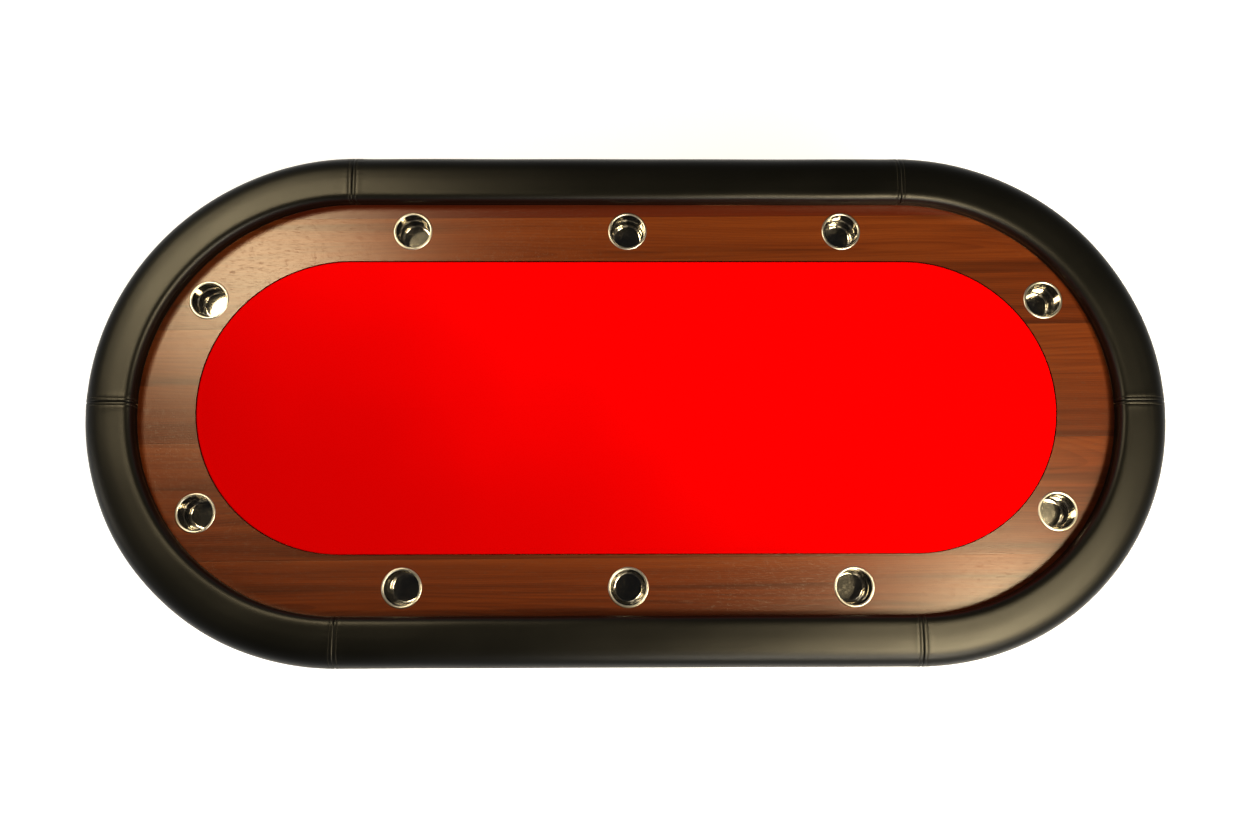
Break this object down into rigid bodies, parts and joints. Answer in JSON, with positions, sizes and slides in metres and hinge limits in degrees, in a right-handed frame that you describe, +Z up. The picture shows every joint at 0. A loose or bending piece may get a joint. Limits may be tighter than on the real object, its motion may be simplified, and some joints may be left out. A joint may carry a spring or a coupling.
{
  "type": "poker table",
  "caption": "Oval card table with a padded rail, veneered racetrack, lift-out metal cup holders and a cloth playing panel, on folding steel leg frames.",
  "frame": {"origin": "on the floor under the middle of the table top", "axes": "+X along the table's length, +Y across it to the back, +Z up from the floor"},
  "size_m": [2.444, 1.168, 0.7969],
  "materials": {
    "ply": "birch plywood",
    "walnut_veneer": "satin lacquered walnut veneer",
    "foam": "cut upholstery foam",
    "vinyl": "grained upholstery vinyl, satin",
    "red_cloth": "smooth woven playing cloth",
    "stainless": "polished stainless steel",
    "powder_coat": "fine-textured black powder coat",
    "zinc": "bright zinc plate",
    "black_screw": "black oxide",
    "moulded": "moulded nylon",
    "foot_rubber": "moulded rubber"
  },
  "bodies": {
    "table_top": {"base_board": "ply", "racetrack": "walnut_veneer", "racetrack_screws": "black_screw", "playing_board": "ply", "playing_board_screws": "black_screw", "playing_foam": "foam", "playing_cloth": "red_cloth", "rail_board": "ply", "rail_foam_strips": "foam", "rail_cover_back": "vinyl", "rail_cover_front": "vinyl", "rail_cover_right_back": "vinyl", "rail_cover_right_front": "vinyl", "rail_cover_left_front": "vinyl", "rail_cover_left_back": "vinyl", "rail_bolts": "zinc", "rail_washers": "zinc", "rail_tee_nuts": "zinc", "leg_bracket_left_front": "powder_coat", "leg_bracket_left_back": "powder_coat", "bracket_screws_left": "black_screw", "pivot_bolts_left": "zinc", "pivot_nuts_left": "zinc", "pivot_washers_left": "zinc", "leg_bracket_right_front": "powder_coat", "leg_bracket_right_back": "powder_coat", "bracket_screws_right": "black_screw", "pivot_bolts_right": "zinc", "pivot_nuts_right": "zinc", "pivot_washers_right": "zinc"},
    "leg_frame_left": {"leg_left_front": "powder_coat", "leg_left_back": "powder_coat", "upper_crossbar_left": "powder_coat", "lower_crossbar_left": "powder_coat", "foot_caps_left": "foot_rubber", "leg_plugs_left": "moulded", "clamp_studs_left": "zinc", "clamp_washers_left": "zinc"},
    "knob_left_front": {"clamp_knob_left_front": "moulded"},
    "knob_left_back": {"clamp_knob_left_back": "moulded"},
    "leg_frame_right": {"leg_right_front": "powder_coat", "leg_right_back": "powder_coat", "upper_crossbar_right": "powder_coat", "lower_crossbar_right": "powder_coat", "foot_caps_right": "foot_rubber", "leg_plugs_right": "moulded", "clamp_studs_right": "zinc", "clamp_washers_right": "zinc"},
    "knob_right_front": {"clamp_knob_right_front": "moulded"},
    "knob_right_back": {"clamp_knob_right_back": "moulded"},
    "cup_01": {"cup_holder_01": "stainless"},
    "cup_02": {"cup_holder_02": "stainless"},
    "cup_03": {"cup_holder_03": "stainless"},
    "cup_04": {"cup_holder_04": "stainless"},
    "cup_05": {"cup_holder_05": "stainless"},
    "cup_06": {"cup_holder_06": "stainless"},
    "cup_07": {"cup_holder_07": "stainless"},
    "cup_08": {"cup_holder_08": "stainless"},
    "cup_09": {"cup_holder_09": "stainless"},
    "cup_10": {"cup_holder_10": "stainless"}
  },
  "joints": [
    {"name": "leg_frame_left_fold", "type": "hinge", "parent": "table_top", "child": "leg_frame_left", "pos_m": [-0.83962, 0, 0.687], "axis": [0, -1, 0], "range_deg": [0, 95]},
    {"name": "clamp_knob_left_front_turn", "type": "hinge", "parent": "leg_frame_left", "child": "knob_left_front", "pos_m": [-0.84276, -0.355, 0.65114], "axis": [0, -1, 0], "range_deg": [0, 270]},
    {"name": "clamp_knob_left_back_turn", "type": "hinge", "parent": "leg_frame_left", "child": "knob_left_back", "pos_m": [-0.84276, 0.355, 0.65114], "axis": [0, 1, 0], "range_deg": [0, 270]},
    {"name": "leg_frame_right_fold", "type": "hinge", "parent": "table_top", "child": "leg_frame_right", "pos_m": [0.83962, 0, 0.687], "axis": [0, 1, 0], "range_deg": [0, 95]},
    {"name": "clamp_knob_right_front_turn", "type": "hinge", "parent": "leg_frame_right", "child": "knob_right_front", "pos_m": [0.84276, -0.355, 0.65114], "axis": [0, -1, 0], "range_deg": [0, 270]},
    {"name": "clamp_knob_right_back_turn", "type": "hinge", "parent": "leg_frame_right", "child": "knob_right_back", "pos_m": [0.84276, 0.355, 0.65114], "axis": [0, 1, 0], "range_deg": [0, 270]},
    {"name": "cup_holder_01_lift", "type": "slide", "parent": "table_top", "child": "cup_01", "axis": [0, 0, 1], "range_m": [0, 0.09]},
    {"name": "cup_holder_02_lift", "type": "slide", "parent": "table_top", "child": "cup_02", "axis": [0, 0, 1], "range_m": [0, 0.09]},
    {"name": "cup_holder_03_lift", "type": "slide", "parent": "table_top", "child": "cup_03", "axis": [0, 0, 1], "range_m": [0, 0.09]},
    {"name": "cup_holder_04_lift", "type": "slide", "parent": "table_top", "child": "cup_04", "axis": [0, 0, 1], "range_m": [0, 0.09]},
    {"name": "cup_holder_05_lift", "type": "slide", "parent": "table_top", "child": "cup_05", "axis": [0, 0, 1], "range_m": [0, 0.09]},
    {"name": "cup_holder_06_lift", "type": "slide", "parent": "table_top", "child": "cup_06", "axis": [0, 0, 1], "range_m": [0, 0.09]},
    {"name": "cup_holder_07_lift", "type": "slide", "parent": "table_top", "child": "cup_07", "axis": [0, 0, 1], "range_m": [0, 0.09]},
    {"name": "cup_holder_08_lift", "type": "slide", "parent": "table_top", "child": "cup_08", "axis": [0, 0, 1], "range_m": [0, 0.09]},
    {"name": "cup_holder_09_lift", "type": "slide", "parent": "table_top", "child": "cup_09", "axis": [0, 0, 1], "range_m": [0, 0.09]},
    {"name": "cup_holder_10_lift", "type": "slide", "parent": "table_top", "child": "cup_10", "axis": [0, 0, 1], "range_m": [0, 0.09]}
  ]
}
